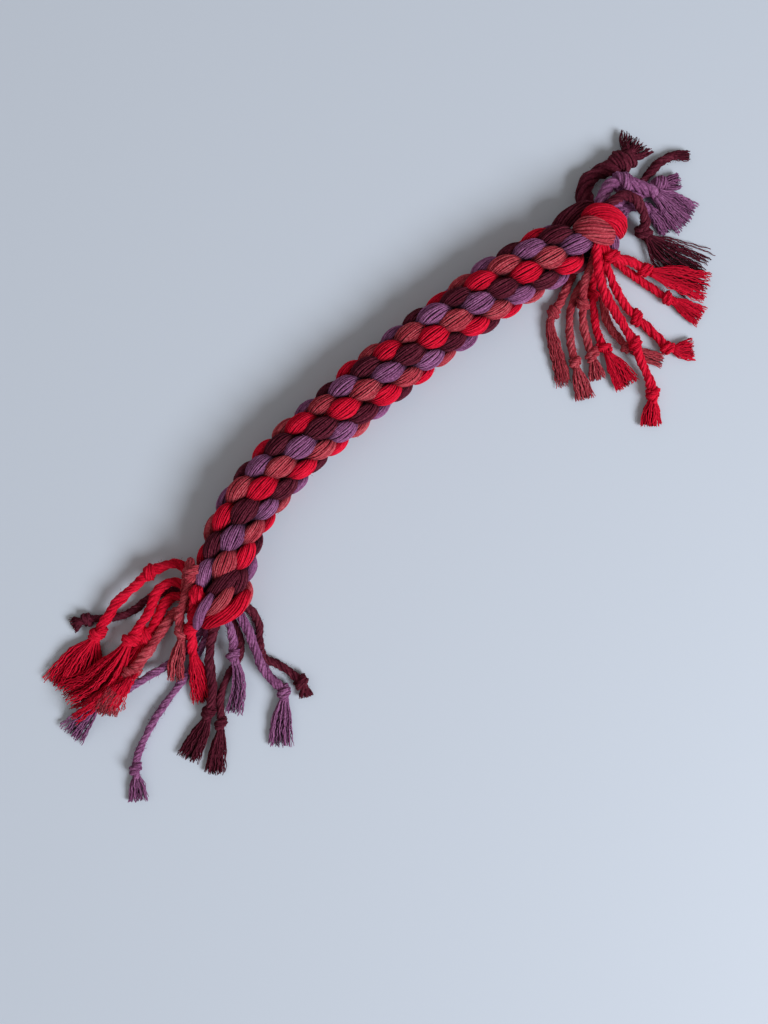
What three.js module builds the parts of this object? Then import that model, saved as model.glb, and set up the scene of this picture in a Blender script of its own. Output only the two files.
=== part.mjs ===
// A rope dog toy braided from eight cotton cords, lying at rest on a flat surface.
// Units are millimetres, +Z is up, +X runs along the rope, and z = 0 is the surface it lies on.
// Eight cords, two of each colour, cross through the middle of the rope and lie on its outside as
// plump stitches in eight columns. At each end the last turns hook over the rope's end and lock it,
// and the cords' loose ends leave below them as tails, each knotted and frayed into a tassel.
import * as THREE from "three";

// Driving dimensions
const rope_diameter = 30;
const tail_diameter = 4.8;
const cord_clearance = 0.35;
const surface_clearance = 0.15;

// The flat view that the routes are drawn on: the rope's width in it, which gives its scale, its
// middle as a pixel, how far the rope is turned in it, and, in rope diameters, the height it was
// seen from and where the part's origin lies from that middle
const rope_width_px = 54.5455;
const view_height_share = 20;
const view_middle_x_px = 384;
const view_middle_y_px = 512;
const rope_turn_deg = 45;
const origin_along_share = 0.81;
const origin_across_share = 0.10333;

// The braid's lattice: a stitch's length along the rope and the place of a red stitch on the
// rope's middle line, both in rope diameters, and each cord's levels of its first and last
// stitch. The cords that stop a level early end in a bight
const column_count = 8;
const stitch_pitch_share = 0.503;
const red_stitch_share = 2.3667;
const first_levels = [-3, -3.5, -4, -3.5, -4, -3.5, -4, -3.5];
const last_levels = [14, 13.5, 13, 13.5, 14, 13.5, 14, 13.5];
const lattice_drift_deg = 12;
const columns_back_per_stitch = 2;
const level_step_share = 0.5;

// One stitch as rings, from where it comes up to where it goes down again to cross the middle.
// A ring has its column and level within the lattice, its distance from the rope's middle, and
// its half width and half thickness, the last three as shares of the rope's radius
const stitch_ring_shares = [
  { column: -0.285, level: -0.685, out: 0.595, wide: 0.103, thick: 0.1 },
  { column: -0.23, level: -0.37, out: 0.888, wide: 0.178, thick: 0.115 },
  { column: 0, level: 0, out: 0.795, wide: 0.315, thick: 0.208 },
  { column: 0.23, level: 0.37, out: 0.888, wide: 0.178, thick: 0.115 },
  { column: 0.285, level: 0.685, out: 0.595, wide: 0.103, thick: 0.1 },
];
const stitch_sides = 6;
const flat_share = 0.033;

// The dyed cottons, and the braid cords' colours by their first column
const dyes = {
  red: new THREE.Color(0.66, 0.02, 0.05),
  coral: new THREE.Color(0.5, 0.07, 0.08),
  purple: new THREE.Color(0.16, 0.06, 0.17),
  plum: new THREE.Color(0.09, 0.02, 0.045),
};
const braid_colours = ["red", "plum", "coral", "red", "purple", "coral", "plum", "purple"];
const cotton_roughness = 0.95;

// A tail's knot and tassel, as shares of the cord's diameter along it and of its radius across it
const tail_sides = 8;
const cord_step_share = 2.4;
const knot_ring_shares = [
  { along: -0.8, out: 1.02 },
  { along: -0.35, out: 1.5 },
  { along: 0.35, out: 1.5 },
  { along: 0.8, out: 1.02 },
];
const tassel_ring_shares = [
  { along: 0.3, wide: 0.7, thick: 0.95 },
  { along: 0.75, wide: 1, thick: 0.85 },
  { along: 1, wide: 0.92, thick: 0.6 },
];

const rope_radius = rope_diameter / 2;
const stitch_pitch = stitch_pitch_share * rope_diameter;
const flat_depth = flat_share * rope_diameter;
const rope_axis_height = rope_radius - flat_depth;
const level_height = rope_diameter / 10;
const view_scale = rope_diameter / rope_width_px;
const view_height = view_height_share * rope_diameter;
const origin_along = origin_along_share * rope_diameter;
const origin_across = origin_across_share * rope_diameter;
const red_stitch_along = red_stitch_share * rope_diameter;
const upward = new THREE.Vector3(0, 0, 1);

// A point of the flat view, seen at a height above the surface, in the part's own frame.
function place(x_px, y_px, height) {
  const scale = view_scale * (1 - height / view_height);
  const right = (x_px - view_middle_x_px) * scale;
  const up = (view_middle_y_px - y_px) * scale;
  const turn = THREE.MathUtils.degToRad(rope_turn_deg);
  const along = right * Math.cos(turn) + up * Math.sin(turn);
  const across = up * Math.cos(turn) - right * Math.sin(turn);
  return new THREE.Vector3(along - origin_along, across - origin_across, height);
}

// A closed solid through rings of {centre, side, rise, wide, thick}, with an n-sided section.
function loft(rings, sides) {
  const corners = [];
  const faces = [];
  const half_side = 0.5;
  for (const ring of rings) {
    for (let k = 0; k < sides; k += 1) {
      const angle = ((k + half_side) / sides) * 2 * Math.PI;
      const corner = ring.centre
        .clone()
        .addScaledVector(ring.side, ring.wide * Math.sin(angle))
        .addScaledVector(ring.rise, ring.thick * Math.cos(angle));
      corners.push(corner.x, corner.y, Math.max(corner.z, 0));
    }
  }
  for (let i = 0; i + 1 < rings.length; i += 1) {
    for (let k = 0; k < sides; k += 1) {
      const a = i * sides + k;
      const b = i * sides + ((k + 1) % sides);
      faces.push(a, b, a + sides, b, b + sides, a + sides);
    }
  }
  const last = (rings.length - 1) * sides;
  for (let k = 1; k + 1 < sides; k += 1) {
    faces.push(0, k + 1, k);
    faces.push(last, last + k, last + k + 1);
  }
  const solid = new THREE.BufferGeometry();
  solid.setAttribute("position", new THREE.Float32BufferAttribute(corners, 3));
  solid.setIndex(faces);
  return solid;
}

// The direction of each ring's run, from the rings before and after it.
function run_at(rings, i) {
  const before = rings[Math.max(i - 1, 0)].centre;
  const after = rings[Math.min(i + 1, rings.length - 1)].centre;
  return after.clone().sub(before).normalize();
}

// The rope's middle line, as pixels of the flat view
const rope_line_px = [
  [217, 612],
  [226, 566],
  [243.5, 516],
  [286, 461.5],
  [338, 413],
  [394, 366],
  [451, 321],
  [510, 280],
  [560, 249.5],
  [604.5, 226],
];
const line_steps = 400;
const rope_line = new THREE.CatmullRomCurve3(
  rope_line_px.map(([x, y]) => place(x, y, rope_axis_height)),
);
const rope_length = rope_line.getLength();

// Middle and side of the rope at a distance along it, and how sharply it bends there.
function rope_frame(along) {
  const share = THREE.MathUtils.clamp(along / rope_length, 0, 1);
  const step = 1 / line_steps;
  const tangent = rope_line.getTangentAt(share);
  const before = rope_line.getTangentAt(Math.max(share - step, 0));
  const after = rope_line.getTangentAt(Math.min(share + step, 1));
  const side = tangent.clone().cross(upward);
  const bend = after.sub(before).dot(side) / (2 * step * rope_length);
  return { centre: rope_line.getPointAt(share), side, bend };
}

// One cord of the braid: its rings follow the lattice, two columns back for every stitch along.
function braid_rings(first_column) {
  const offset = (first_column % 2) * level_step_share;
  const rings = [];
  const first_stitch = first_levels[first_column] - offset;
  const last_stitch = last_levels[first_column] - offset;
  for (let stitch = first_stitch; stitch <= last_stitch; stitch += 1) {
    for (const shares of stitch_ring_shares) {
      const column = first_column - columns_back_per_stitch * stitch + shares.column;
      const along = red_stitch_along + (stitch + offset + shares.level) * stitch_pitch;
      const drift = (lattice_drift_deg * along) / rope_length;
      const angle = (column / column_count) * 2 * Math.PI + THREE.MathUtils.degToRad(drift);
      const { centre, side, bend } = rope_frame(along);
      const out = side.clone().multiplyScalar(Math.sin(angle));
      out.addScaledVector(upward, Math.cos(angle));
      const reach = shares.out * rope_radius;
      const outer = reach + shares.thick * rope_radius;
      const squeeze = Math.min(1, 1 - bend * outer * Math.sin(angle));
      rings.push({
        centre: centre.addScaledVector(out, reach),
        out,
        wide: shares.wide * rope_radius * squeeze,
        thick: shares.thick * rope_radius * squeeze,
      });
    }
  }
  rings.forEach((ring, i) => {
    const run = run_at(rings, i);
    ring.side = run.clone().cross(ring.out).normalize();
    ring.rise = ring.side.clone().cross(run);
  });
  return rings;
}

// The routes of the end pieces. Each point is a pixel of the flat view and a height in tenths of
// the rope's diameter. A bight is the last turn of a braid cord over the rope's end
const bights = [
  {
    name: "upper_bight_red", dye: "red", wide_share: 1.75, thick_share: 1.4,
    route: [[586, 215, 7.4], [597, 212, 8.6], [608, 214, 8.8], [617, 221, 8], [620, 230, 6]],
  },
  {
    name: "upper_bight_coral", dye: "coral", wide_share: 2.1, thick_share: 1.35,
    route: [[582, 229, 8.6], [590, 230, 9], [599, 233, 8.6], [608, 237, 7]],
  },
  {
    name: "upper_bight_purple", dye: "purple", wide_share: 1.6, thick_share: 1.1,
    route: [[606, 236, 5.6], [609, 243, 4.8], [608, 250, 3.8]],
  },
  {
    name: "upper_bight_plum", dye: "plum", wide_share: 1.7, thick_share: 1.2,
    route: [[558, 228, 5], [567, 219, 5.8], [578, 212, 6], [588, 209, 5.6], [595, 211, 5]],
  },
  {
    name: "lower_bight_red", dye: "red", wide_share: 1.35, thick_share: 1.2,
    route: [[243, 583, 5.4], [239, 593, 7.4], [232, 604, 8.4], [221, 612, 8.3], [210, 617, 7], [203, 621, 5]],
  },
  {
    name: "lower_bight_coral", dye: "coral", wide_share: 1.1, thick_share: 1.1,
    route: [[231, 590, 8.2], [225, 598, 8.8], [216, 605, 8.7], [207, 610, 7.6]],
  },
  {
    name: "lower_bight_plum", dye: "plum", wide_share: 1.15, thick_share: 1.1,
    route: [[234, 577, 7.6], [226, 583, 8.4], [217, 590, 8.4], [210, 597, 7.4]],
  },
  {
    name: "lower_bight_purple", dye: "purple", wide_share: 1.2, thick_share: 1.1,
    route: [[210, 595, 8], [205, 603, 8.2], [201, 612, 7.2], [198, 621, 5.4]],
  },
];

// A tail's route runs from the rope's end through its knots, which are points of the route, named
// by their place in it. After the last knot the cord is frayed, and spread_px is how wide it lies
const tails = [
  {
    name: "upper_coral_tail_1", dye: "coral", knots: [4], spread_px: 15,
    route: [[588, 251, 2.6], [577, 269, 1.4], [567, 289, 0.9], [561, 302, 0.9], [554, 313, 0.9],
      [551, 325, 0.9], [556, 346, 0.9], [562, 367, 0.8], [567, 387, 0.7]],
  },
  {
    name: "upper_coral_tail_2", dye: "coral", knots: [6], spread_px: 20,
    route: [[591, 251, 3.8], [583, 272, 2.4], [574, 292, 1.2], [569, 312, 0.9], [569, 332, 0.9], [571, 348, 0.9],
      [574, 362, 0.9], [577, 375, 0.9], [581, 388, 0.8], [584, 400, 0.7]],
  },
  {
    name: "upper_coral_tail_3", dye: "coral", knots: [3, 6], spread_px: 16,
    route: [[593, 252, 5.2], [587, 268, 4], [582, 285, 2.6], [583, 303, 1.6], [583, 320, 1], [587, 339, 0.9],
      [592, 354, 0.9], [594, 364, 0.9], [597, 381, 0.7]],
  },
  {
    name: "upper_red_tail_1", dye: "red", knots: [2, 5], spread_px: 24,
    route: [[596, 252, 3], [592, 273, 2.6], [591, 294, 2], [593, 313, 1.2], [596, 333, 0.9], [603, 348, 0.9],
      [610, 359, 0.9], [619, 372, 0.9], [628, 387, 0.7]],
  },
  {
    name: "upper_coral_tail_4", dye: "coral", knots: [5], spread_px: 14,
    route: [[601, 255, 1.6], [599, 281, 1], [600, 305, 0.9], [607, 325, 0.9], [617, 338, 0.9], [627, 347, 0.9],
      [638, 352, 0.9], [651, 357, 0.8], [664, 361, 0.7]],
  },
  {
    name: "upper_red_tail_2", dye: "red", knots: [6, 9], spread_px: 21,
    route: [[596, 246, 6.6], [597, 262, 5.8], [600, 281, 4.8], [607, 300, 4], [617, 317, 3.2], [626, 333, 2.6],
      [632, 345, 2.2], [639, 362, 1.6], [648, 380, 1], [652, 393, 1], [652, 404, 0.9], [651, 415, 0.8],
      [651, 427, 0.7]],
  },
  {
    name: "upper_red_tail_3", dye: "red", knots: [4, 7], spread_px: 20,
    route: [[600, 250, 4.8], [608, 271, 4], [616, 290, 3], [626, 306, 2.2], [636, 317, 1.6], [648, 328, 1.2],
      [658, 338, 1], [667, 348, 1], [677, 350, 0.9], [686, 350, 0.8], [694, 349, 0.7]],
  },
  {
    name: "upper_red_tail_4", dye: "red", knots: [4], spread_px: 18,
    route: [[604, 251, 3.2], [618, 265, 2.2], [635, 277, 1.4], [651, 288, 1], [667, 298, 1], [679, 304, 0.9],
      [690, 311, 0.8], [702, 318, 0.7]],
  },
  {
    name: "upper_red_tail_5", dye: "red", knots: [1, 4], spread_px: 26,
    route: [[601, 247, 6.8], [610, 256, 6.2], [622, 260, 5], [633, 263, 3.8], [644, 270, 2.8], [660, 275, 1.8],
      [680, 280, 1.2], [703, 287, 0.7]],
  },
  {
    name: "upper_plum_tail_1", dye: "plum", knots: [6], spread_px: 26, cord_share: 1.7,
    route: [[597, 218, 4], [593, 209, 3.6], [586, 198, 3.4], [586, 185, 3.2], [595, 174, 2.8], [608, 168, 2.4],
      [621, 162, 2], [629, 154, 1.4], [636, 144, 0.9]],
  },
  {
    name: "upper_plum_tail_2", dye: "plum", knots: [], spread_px: 10,
    route: [[610, 210, 1.8], [624, 198, 1.2], [639, 186, 1], [650, 173, 0.9], [661, 162, 0.9], [674, 156, 0.8],
      [690, 156, 0.7]],
  },
  {
    name: "upper_purple_tail_1", dye: "purple", knots: [3], spread_px: 26,
    route: [[599, 215, 6], [602, 197, 6.4], [611, 184, 5.8], [622, 182, 5.4], [639, 186, 4.4], [655, 194, 3],
      [667, 202, 2], [679, 211, 1.4], [690, 220, 0.8]],
    frayed_from: 5,
  },
  {
    name: "upper_purple_tail_2", dye: "purple", knots: [4], spread_px: 13,
    route: [[605, 215, 4.8], [621, 200, 4.4], [635, 195, 3.6], [648, 190, 2.4], [659, 187, 1.6], [669, 184, 1],
      [680, 181, 0.7]],
  },
  {
    name: "upper_purple_tail_3", dye: "purple", knots: [], spread_px: 13,
    route: [[609, 216, 3], [625, 208, 2.6], [640, 206, 2], [651, 212, 1.6], [661, 222, 1], [669, 234, 0.7]],
    frayed_from: 3,
  },
  {
    name: "upper_plum_tail_3", dye: "plum", knots: [6], spread_px: 34,
    route: [[600, 218, 7.2], [610, 203, 8], [622, 195, 8], [634, 197, 7.2], [642, 207, 5.8], [646, 220, 3.8],
      [645, 231, 2.4], [655, 242, 1.8], [672, 256, 1.4], [690, 268, 0.9]],
  },
  {
    name: "upper_purple_stub", dye: "purple", knots: [], spread_px: 9,
    route: [[610, 219, 5], [618, 215, 5.4], [627, 211, 5.6]],
  },
  {
    name: "lower_coral_tail_1", dye: "coral", knots: [4, 8], spread_px: 17,
    route: [[192, 602, 3.4], [190, 587, 4.4], [191, 571, 5.4], [194, 561, 7], [195, 572, 8.2], [190, 588, 7.6],
      [184, 604, 6.2], [180, 619, 5], [184, 633, 4], [181, 648, 3], [177, 664, 2], [177, 680, 1.2]],
  },
  {
    name: "lower_red_tail_1", dye: "red", knots: [1, 3], spread_px: 19,
    route: [[207, 600, 6], [201, 590, 7.6], [195, 601, 7.2], [195, 615, 5.8], [190, 627, 4.6], [190, 640, 3.6],
      [192, 654, 2.6], [197, 671, 1.8], [201, 687, 1.2], [205, 704, 0.8]],
    frayed_from: 6,
  },
  {
    name: "lower_red_tail_2", dye: "red", knots: [4, 8], spread_px: 34,
    route: [[191, 587, 4.2], [187, 574, 4.8], [179, 566, 4.8], [165, 567, 4.2], [150, 573, 3.4], [134, 587, 2.6],
      [120, 600, 1.8], [108, 617, 1.2], [99, 632, 1.1], [90, 650, 1], [80, 669, 0.9], [70, 690, 0.7]],
  },
  {
    name: "lower_red_tail_3", dye: "red", knots: [6], spread_px: 28,
    route: [[194, 592, 2.8], [184, 583, 3.4], [171, 581, 3.8], [158, 591, 4], [150, 611, 3.6], [140, 627, 3.2],
      [133, 640, 2.8], [126, 655, 2.4], [115, 672, 2], [98, 689, 1.4], [70, 703, 0.9]],
  },
  {
    name: "lower_red_tail_4", dye: "red", knots: [5], spread_px: 26,
    route: [[196, 602, 2.2], [184, 596, 2.4], [171, 597, 2.6], [162, 609, 2.6], [156, 623, 2.2], [148, 636, 1.8],
      [138, 655, 1.4], [124, 679, 1], [108, 703, 0.7]],
  },
  {
    name: "lower_coral_tail_2", dye: "coral", knots: [5], spread_px: 19,
    route: [[202, 612, 1.2], [188, 607, 1], [174, 613, 1], [162, 629, 0.9], [148, 650, 0.9], [133, 670, 0.9],
      [123, 684, 0.9], [114, 697, 0.8], [107, 712, 0.7]],
  },
  {
    name: "lower_plum_tail_1", dye: "plum", knots: [7], spread_px: 15,
    route: [[196, 582, 1.4], [186, 588, 1], [170, 592, 0.9], [150, 598, 0.9], [134, 611, 0.9], [116, 618, 0.9],
      [100, 619, 0.9], [88, 620, 0.9], [80, 622, 0.8], [72, 626, 0.7]],
  },
  {
    name: "lower_purple_tail_1", dye: "purple", knots: [5], spread_px: 24,
    route: [[208, 618, 1.6], [195, 640, 1], [175, 660, 0.9], [151, 673, 0.9], [125, 687, 0.9], [105, 699, 0.9],
      [95, 708, 0.9], [85, 718, 0.8], [75, 730, 0.7]],
  },
  {
    name: "lower_purple_tail_2", dye: "purple", knots: [7], spread_px: 21,
    route: [[210, 622, 3], [203, 645, 2], [191, 671, 1.2], [174, 693, 0.9], [157, 716, 0.9], [145, 738, 0.9],
      [138, 755, 0.9], [136, 768, 0.9], [137, 780, 0.9], [138, 790, 0.8], [139, 802, 0.7]],
  },
  {
    name: "lower_plum_tail_2", dye: "plum", knots: [4], spread_px: 22,
    route: [[215, 622, 4.2], [210, 640, 3], [208, 660, 2], [211, 685, 1.2], [209, 710, 0.9], [204, 726, 0.9],
      [196, 742, 0.8], [187, 760, 0.7]],
  },
  {
    name: "lower_plum_tail_3", dye: "plum", knots: [5], spread_px: 20,
    route: [[231, 618, 1.2], [240, 636, 0.9], [240, 656, 0.9], [229, 675, 0.9], [221, 697, 0.9], [222, 722, 0.9],
      [220, 738, 0.9], [217, 755, 0.8], [214, 775, 0.7]],
  },
  {
    name: "lower_purple_tail_3", dye: "purple", knots: [3], spread_px: 17,
    route: [[225, 614, 4.8], [230, 627, 4], [233, 641, 3], [233, 654, 2.4], [237, 671, 1.8], [237, 691, 1.4],
      [231, 716, 0.8]],
  },
  {
    name: "lower_purple_tail_4", dye: "purple", knots: [6], spread_px: 25,
    route: [[234, 608, 4.2], [243, 619, 3.4], [251, 635, 2.6], [257, 650, 2.2], [263, 665, 1.8], [272, 678, 1.4],
      [284, 691, 1.1], [283, 707, 1], [281, 725, 0.8], [280, 747, 0.7]],
  },
  {
    name: "lower_plum_tail_4", dye: "plum", knots: [8], spread_px: 15,
    route: [[234, 601, 2.4], [245, 606, 2.4], [254, 614, 1.8], [259, 626, 1.2], [259, 642, 0.9], [263, 658, 0.9],
      [277, 664, 0.9], [291, 673, 0.9], [301, 682, 0.9], [305, 690, 0.8], [307, 697, 0.7]],
  },
];

// The stations of a piece that is as wide and thick all along, such as a bight.
function bight_rings(bight) {
  const curve = new THREE.CatmullRomCurve3(bight.route.map(([x, y, h]) => place(x, y, h * level_height)));
  const steps = bight.route.length;
  const ends_share = 0.7;
  return Array.from({ length: steps + 1 }, (_, i) => {
    const share = i === 0 || i === steps ? ends_share : 1;
    return {
      centre: curve.getPointAt(i / steps),
      wide: (bight.wide_share * tail_diameter * share) / 2,
      thick: (bight.thick_share * tail_diameter * share) / 2,
    };
  });
}

// The stations of a tail: its cord, its knots and the tassel after the last one.
function tail_rings(tail) {
  const curve = new THREE.CatmullRomCurve3(tail.route.map(([x, y, h]) => place(x, y, h * level_height)));
  const spans = tail.route.length - 1;
  const samples_per_span = 20;
  curve.arcLengthDivisions = spans * samples_per_span;
  const lengths = curve.getLengths();
  const total = lengths[lengths.length - 1];
  const at_point = (index) => lengths[index * samples_per_span];
  const diameter = tail_diameter * (tail.cord_share ?? 1);
  const radius = diameter / 2;
  const stations = [{ along: 0, wide: radius, thick: radius }];
  for (const knot of tail.knots) {
    for (const shares of knot_ring_shares) {
      const out = shares.out * radius;
      stations.push({ along: at_point(knot) + shares.along * diameter, wide: out, thick: out });
    }
  }
  const last_knot = tail.knots[tail.knots.length - 1];
  const frayed_index = tail.frayed_from ?? last_knot;
  let frayed = frayed_index === undefined ? total - 2 * diameter : at_point(frayed_index);
  frayed = Math.max(frayed, stations[stations.length - 1].along);
  if (frayed > stations[stations.length - 1].along) stations.push({ along: frayed, wide: radius, thick: radius });
  const spread = (tail.spread_px * view_scale) / 2;
  for (const shares of tassel_ring_shares) {
    const wide = radius + (Math.max(spread, radius) - radius) * shares.wide;
    stations.push({
      along: frayed + (total - frayed) * shares.along,
      wide,
      thick: radius * shares.thick,
    });
  }
  const filled = [];
  stations.forEach((station, i) => {
    filled.push(station);
    const next = stations[i + 1];
    if (!next || station.along >= frayed) return;
    const gap = next.along - station.along;
    const extra = Math.round(gap / (cord_step_share * tail_diameter)) - 1;
    for (let k = 1; k <= extra; k += 1) {
      filled.push({ along: station.along + (gap * k) / (extra + 1), wide: radius, thick: radius });
    }
  });
  return filled.map(({ along, wide, thick }) => ({ centre: curve.getPointAt(along / total), wide, thick }));
}

// Horizontal side and rise of each ring of a piece that lies about flat.
function lay_flat(rings) {
  rings.forEach((ring, i) => {
    const run = run_at(rings, i);
    ring.side = run.clone().cross(upward).normalize();
    ring.rise = ring.side.clone().cross(run);
  });
}

// Spheres that fill the stretches between a piece's rings, as shares of the stretch.
function stretch_marks(rings) {
  const spacing_share = 0.9;
  const marks = [];
  for (let i = 0; i + 1 < rings.length; i += 1) {
    const here = rings[i];
    const next = rings[i + 1];
    const thick = Math.min(here.thick, next.thick);
    const count = Math.max(1, Math.ceil(here.centre.distanceTo(next.centre) / (spacing_share * thick)));
    for (let k = 0; k < count + (i + 2 === rings.length ? 1 : 0); k += 1) {
      const share = k / count;
      const radius = here.thick + (next.thick - here.thick) * share;
      const wide = here.wide + (next.wide - here.wide) * share;
      const beside = Math.max(wide - radius, 0);
      const rows = Math.ceil(beside / radius);
      for (let row = -rows; row <= rows; row += 1) {
        marks.push({ i, share, radius, beside: rows > 0 ? (row / rows) * beside : 0 });
      }
    }
  }
  return marks;
}

function mark_place(rings, mark) {
  const here = rings[mark.i];
  const next = rings[mark.i + 1];
  return here.centre
    .clone()
    .lerp(next.centre, mark.share)
    .addScaledVector(here.side.clone().lerp(next.side, mark.share), mark.beside);
}

// Lets the loose pieces settle beside and over each other: where two lie closer than the
// clearance they part, mostly in height, and each keeps near its drawn route.
function settle(loose, locked, fixed) {
  const rounds = 260;
  const still_rounds = 60;
  const hold_share = 0.04;
  const hold_up_share = 0.01;
  const held_rings = 3;
  const sink = 0.01 * tail_diameter;
  const flat_push_share = 0.45;
  const listen_gap = 3 * tail_diameter;
  const refresh = 10;
  const body_of = (rings, is_locked) => ({ rings, marks: stretch_marks(rings), locked: is_locked });
  const bodies = [...locked.map((rings) => body_of(rings, true)), ...loose.map((rings) => body_of(rings, false))];
  for (const body of bodies) {
    for (const ring of body.rings) ring.home = ring.centre.clone();
  }
  const fixed_marks = fixed.flatMap((rings) =>
    stretch_marks(rings).map((mark) => ({ at: mark_place(rings, mark), radius: mark.radius })),
  );
  const all = bodies.flatMap((body, owner) => body.marks.map((mark) => ({ body, owner, mark })));
  let near = [];
  for (let round = 0; round < rounds + still_rounds; round += 1) {
    const still = round >= rounds;
    for (const body of bodies) lay_flat(body.rings);
    for (const item of all) item.at = mark_place(item.body.rings, item.mark);
    if (round % refresh === 0) {
      near = [];
      for (let a = 0; a < all.length; a += 1) {
        for (let b = a + 1; b < all.length; b += 1) {
          if (all[a].owner !== all[b].owner && all[a].at.distanceTo(all[b].at) < listen_gap) {
            near.push([all[a], all[b]]);
          }
        }
        for (const mark of fixed_marks) {
          if (all[a].at.distanceTo(mark.at) < listen_gap) near.push([all[a], mark]);
        }
      }
    }
    for (const body of bodies) {
      for (const ring of body.rings) {
        ring.push = new THREE.Vector3();
        ring.load = 0;
      }
    }
    for (const [one, other] of near) {
      const apart = one.at.clone().sub(other.at);
      const distance = Math.max(apart.length(), cord_clearance / 10);
      const other_radius = other.mark ? other.mark.radius : other.radius;
      const short = one.mark.radius + other_radius + cord_clearance - distance;
      if (short <= 0) continue;
      if (!still) {
        apart.x *= flat_push_share;
        apart.y *= flat_push_share;
      }
      const length = apart.length();
      if (length > 0) apart.divideScalar(length);
      else apart.copy(upward);
      const moved = other.mark ? short / 2 : short;
      for (const [item, sign] of other.mark ? [[one, 1], [other, -1]] : [[one, 1]]) {
        const { i, share } = item.mark;
        const here = item.body.rings[i];
        const next = item.body.rings[i + 1];
        here.push.addScaledVector(apart, sign * moved * (1 - share));
        here.load += 1 - share;
        next.push.addScaledVector(apart, sign * moved * share);
        next.load += share;
      }
    }
    for (const body of bodies) {
      const rings = body.rings;
      for (const ring of rings) {
        if (ring.load > 0) ring.centre.addScaledVector(ring.push, 1 / Math.max(ring.load, 1));
        if (still) continue;
        ring.centre.lerp(ring.home, hold_share);
        if (body.locked) continue;
        const freedom = Math.min(1, body.rings.indexOf(ring) / held_rings);
        ring.centre.z += (ring.centre.z - ring.home.z) * (hold_share - hold_up_share) * freedom;
        ring.centre.z -= sink * freedom;
      }
      const shifts = rings.map((ring) => ring.centre.clone().sub(ring.home));
      const smooth_share = still ? 0.05 : 0.3;
      rings.forEach((ring, i) => {
        const mean = shifts[Math.max(i - 1, 0)].clone().add(shifts[Math.min(i + 1, rings.length - 1)]);
        mean.divideScalar(2).sub(shifts[i]);
        ring.centre.addScaledVector(mean, smooth_share);
        ring.centre.z = Math.max(ring.centre.z, ring.thick + surface_clearance);
      });
    }
  }
  for (const body of bodies) lay_flat(body.rings);
}

const cotton = {};
for (const [dye, color] of Object.entries(dyes)) {
  cotton[dye] = new THREE.MeshStandardMaterial({ color, roughness: cotton_roughness, metalness: 0 });
}

const toy = new THREE.Group();

function add_piece(name, dye, rings, sides) {
  const piece = new THREE.Mesh(loft(rings, sides), cotton[dye]);
  piece.name = name;
  toy.add(piece);
}

const cords = braid_colours.map((dye, column) => braid_rings(column));
cords.forEach((rings, column) => {
  const dye = braid_colours[column];
  const pair = braid_colours.slice(0, column).includes(dye) ? 2 : 1;
  add_piece(`braid_cord_${dye}_${pair}`, dye, rings, stitch_sides);
});

const bight_pieces = bights.map((bight) => ({ ...bight, rings: bight_rings(bight) }));
const tail_pieces = tails.map((tail) => ({ ...tail, rings: tail_rings(tail) }));
const stitches_near_end = 3;
const rings_near_end = stitches_near_end * stitch_ring_shares.length;
const cord_ends = cords.flatMap((rings) => [rings.slice(0, rings_near_end), rings.slice(-rings_near_end)]);
settle(
  tail_pieces.map((piece) => piece.rings),
  bight_pieces.map((piece) => piece.rings),
  cord_ends,
);
for (const piece of [...bight_pieces, ...tail_pieces]) {
  add_piece(piece.name, piece.dye, piece.rings, tail_sides);
}

export default toy;
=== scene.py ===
import math
import random

import bpy
import numpy as np
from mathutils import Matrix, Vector


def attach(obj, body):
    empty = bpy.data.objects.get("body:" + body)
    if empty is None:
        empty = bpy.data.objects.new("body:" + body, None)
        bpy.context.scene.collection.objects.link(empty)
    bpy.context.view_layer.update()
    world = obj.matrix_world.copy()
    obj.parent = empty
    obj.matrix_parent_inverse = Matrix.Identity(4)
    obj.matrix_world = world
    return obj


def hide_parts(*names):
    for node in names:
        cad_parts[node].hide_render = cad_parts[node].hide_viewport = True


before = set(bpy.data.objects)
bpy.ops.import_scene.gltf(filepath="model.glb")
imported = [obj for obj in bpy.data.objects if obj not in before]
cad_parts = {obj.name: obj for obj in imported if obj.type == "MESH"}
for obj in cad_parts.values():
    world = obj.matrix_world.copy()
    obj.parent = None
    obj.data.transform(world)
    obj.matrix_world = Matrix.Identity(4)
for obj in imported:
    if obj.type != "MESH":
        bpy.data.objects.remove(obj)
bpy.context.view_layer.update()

# Sizes in millimetres, as in the part: every mesh is scaled to metres when it is made
MM = 0.001
ROPE_DIAMETER = 30.0
TAIL_DIAMETER = 4.8
CORD_CLEARANCE = 0.35
SURFACE_CLEARANCE = 0.15
ROPE_WIDTH_PX = 54.5455
VIEW_SCALE = ROPE_DIAMETER / ROPE_WIDTH_PX
VIEW_HEIGHT = 600.0
VIEW_MIDDLE_PX = (384.0, 512.0)
VIEW_FRAME_HEIGHT_PX = 1024.0
ROPE_TURN = math.radians(45)
ORIGIN_ALONG = 0.81 * ROPE_DIAMETER
ORIGIN_ACROSS = 0.10333 * ROPE_DIAMETER
COLUMN_COUNT = 8
STITCH_PITCH = 0.503 * ROPE_DIAMETER
RED_STITCH_ALONG = 2.3667 * ROPE_DIAMETER
FIRST_LEVELS = [-3, -3.5, -4, -3.5, -4, -3.5, -4, -3.5]
LAST_LEVELS = [14, 13.5, 13, 13.5, 14, 13.5, 14, 13.5]
LATTICE_DRIFT = math.radians(12)
COLUMNS_BACK = 2
# column, level, and the distance out, half width and half thickness as shares of the rope's radius
STITCH_RINGS = [
    (-0.285, -0.685, 0.595, 0.103, 0.1),
    (-0.23, -0.37, 0.888, 0.178, 0.115),
    (0, 0, 0.795, 0.315, 0.208),
    (0.23, 0.37, 0.888, 0.178, 0.115),
    (0.285, 0.685, 0.595, 0.103, 0.1),
]
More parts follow.
